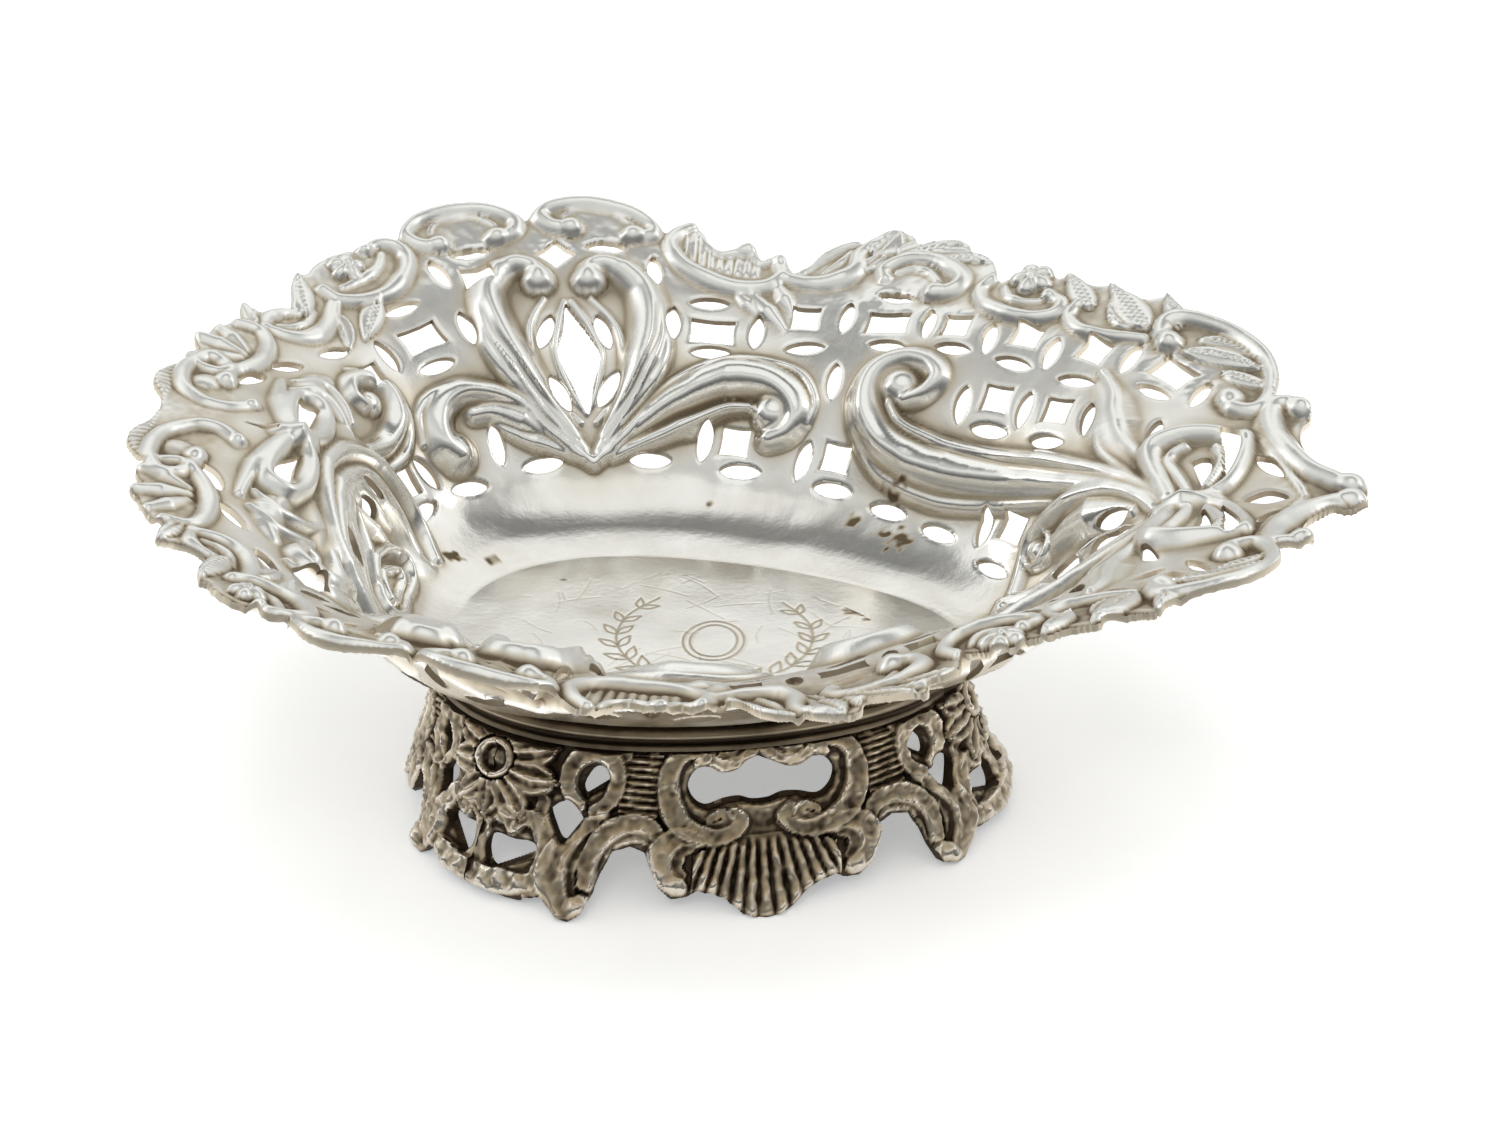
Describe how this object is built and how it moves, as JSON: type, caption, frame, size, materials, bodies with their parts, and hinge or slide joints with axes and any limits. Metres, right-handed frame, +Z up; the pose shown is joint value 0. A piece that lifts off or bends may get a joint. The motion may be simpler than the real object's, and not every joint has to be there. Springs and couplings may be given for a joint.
{
  "type": "bonbon dish",
  "caption": "Heart-shaped pierced silver bonbon dish with a scalloped scroll rim, a moulded collar ring and a flared, pierced foot of three panels.",
  "frame": {"origin": "on the ground, under the middle of the dish's plan", "axes": "+X from the blunt end to the pointed end, +Y to the rear half, +Z up"},
  "size_m": [0.175, 0.1538, 0.0591],
  "materials": {
    "bright_silver": "polished silver with yellow-brown tarnish in the recesses",
    "aged_silver": "silver with brown-grey oxide in the recesses and bright worn edges"
  },
  "bodies": {
    "root": {"pierced_bowl": "bright_silver", "foot_collar": "aged_silver", "skirt_panel_front": "aged_silver", "skirt_panel_rear": "aged_silver", "skirt_panel_end": "aged_silver"}
  },
  "joints": []
}
